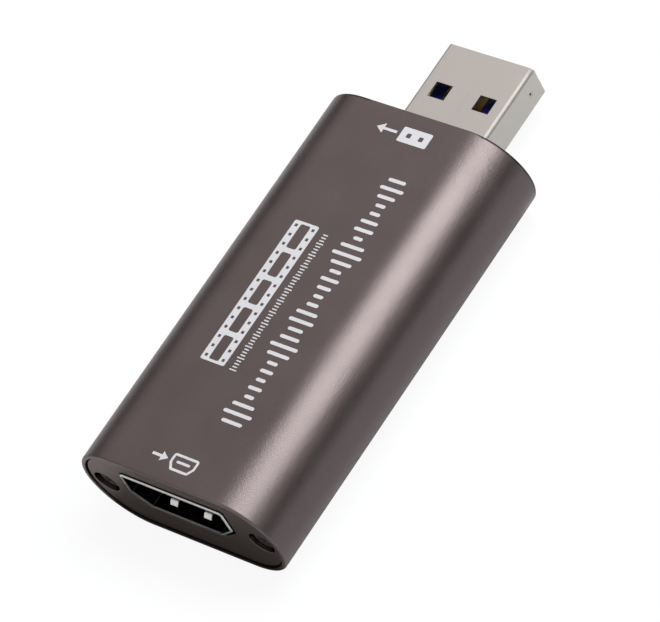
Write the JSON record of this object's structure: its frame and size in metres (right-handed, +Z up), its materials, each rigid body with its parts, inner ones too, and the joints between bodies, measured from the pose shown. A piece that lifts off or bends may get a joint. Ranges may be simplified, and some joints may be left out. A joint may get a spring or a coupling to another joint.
{
  "type": "video capture box",
  "caption": "Pocket video capture dongle: flat round-sided aluminium tube, screwed end plates, digital video socket in one end, flat data plug out of the other.",
  "frame": {"origin": "under the middle of the whole object, plug included, on the surface that it rests on", "axes": "+Y runs from the video socket to the data plug, +X across the case, +Z up through its flat top"},
  "size_m": [0.0278, 0.0644, 0.013],
  "materials": {
    "case_anodised": "dark grey satin anodised, bead blasted",
    "plate_anodised": "dark grey satin anodised",
    "screw_steel": "dark plated",
    "socket_metal": "nickel plated",
    "spring_metal": "bright nickel plated",
    "socket_plastic": "moulded, matt",
    "plug_metal": "nickel plated, satin",
    "plug_plastic": "moulded, matt",
    "contact_gold": "gold flashed",
    "board_laminate": "solder resist, satin",
    "chip_plastic": "moulded, matt",
    "crystal_can": "plated lid",
    "inductor_ferrite": "sintered, matt",
    "capacitor_ceramic": "fired ceramic",
    "resistor_film": "lacquered",
    "pad_silicone": "soft, matt"
  },
  "bodies": {
    "capture_box": {"case_tube": "case_anodised", "input_end_plate": "plate_anodised", "output_end_plate": "plate_anodised", "input_plate_screws": "screw_steel", "output_plate_screws": "screw_steel", "video_socket_shell": "socket_metal", "video_socket_block": "socket_plastic", "video_socket_upper_contacts": "contact_gold", "video_socket_lower_contacts": "contact_gold", "data_plug_shell": "plug_metal", "data_plug_insulator": "plug_plastic", "data_plug_main_contacts": "contact_gold", "data_plug_rear_contacts": "contact_gold", "circuit_board": "board_laminate", "video_processor": "chip_plastic", "video_receiver": "chip_plastic", "firmware_memory": "chip_plastic", "voltage_regulators": "chip_plastic", "clock_crystals": "crystal_can", "power_inductors": "inductor_ferrite", "tank_capacitors": "capacitor_ceramic", "small_capacitors": "capacitor_ceramic", "small_resistors": "resistor_film", "surge_protectors": "chip_plastic", "thermal_pad": "pad_silicone"},
    "socket_spring_lower_left": {"socket_spring_lower_left": "spring_metal"},
    "socket_spring_lower_right": {"socket_spring_lower_right": "spring_metal"},
    "socket_spring_upper_left": {"socket_spring_upper_left": "spring_metal"},
    "socket_spring_upper_right": {"socket_spring_upper_right": "spring_metal"}
  },
  "joints": [
    {"name": "spring_flex_lower_left", "type": "hinge", "parent": "capture_box", "child": "socket_spring_lower_left", "pos_m": [-0.0024, -0.026, 0.00507], "axis": [1, 0, 0], "range_deg": [0, 3.5], "stiffness_Nm_per_rad": 0.08},
    {"name": "spring_flex_lower_right", "type": "hinge", "parent": "capture_box", "child": "socket_spring_lower_right", "pos_m": [0.0024, -0.026, 0.00507], "axis": [1, 0, 0], "range_deg": [0, 3.5], "stiffness_Nm_per_rad": 0.08},
    {"name": "spring_flex_upper_left", "type": "hinge", "parent": "capture_box", "child": "socket_spring_upper_left", "pos_m": [-0.0024, -0.026, 0.01022], "axis": [-1, 0, 0], "range_deg": [0, 3.5], "stiffness_Nm_per_rad": 0.08},
    {"name": "spring_flex_upper_right", "type": "hinge", "parent": "capture_box", "child": "socket_spring_upper_right", "pos_m": [0.0024, -0.026, 0.01022], "axis": [-1, 0, 0], "range_deg": [0, 3.5], "stiffness_Nm_per_rad": 0.08}
  ]
}
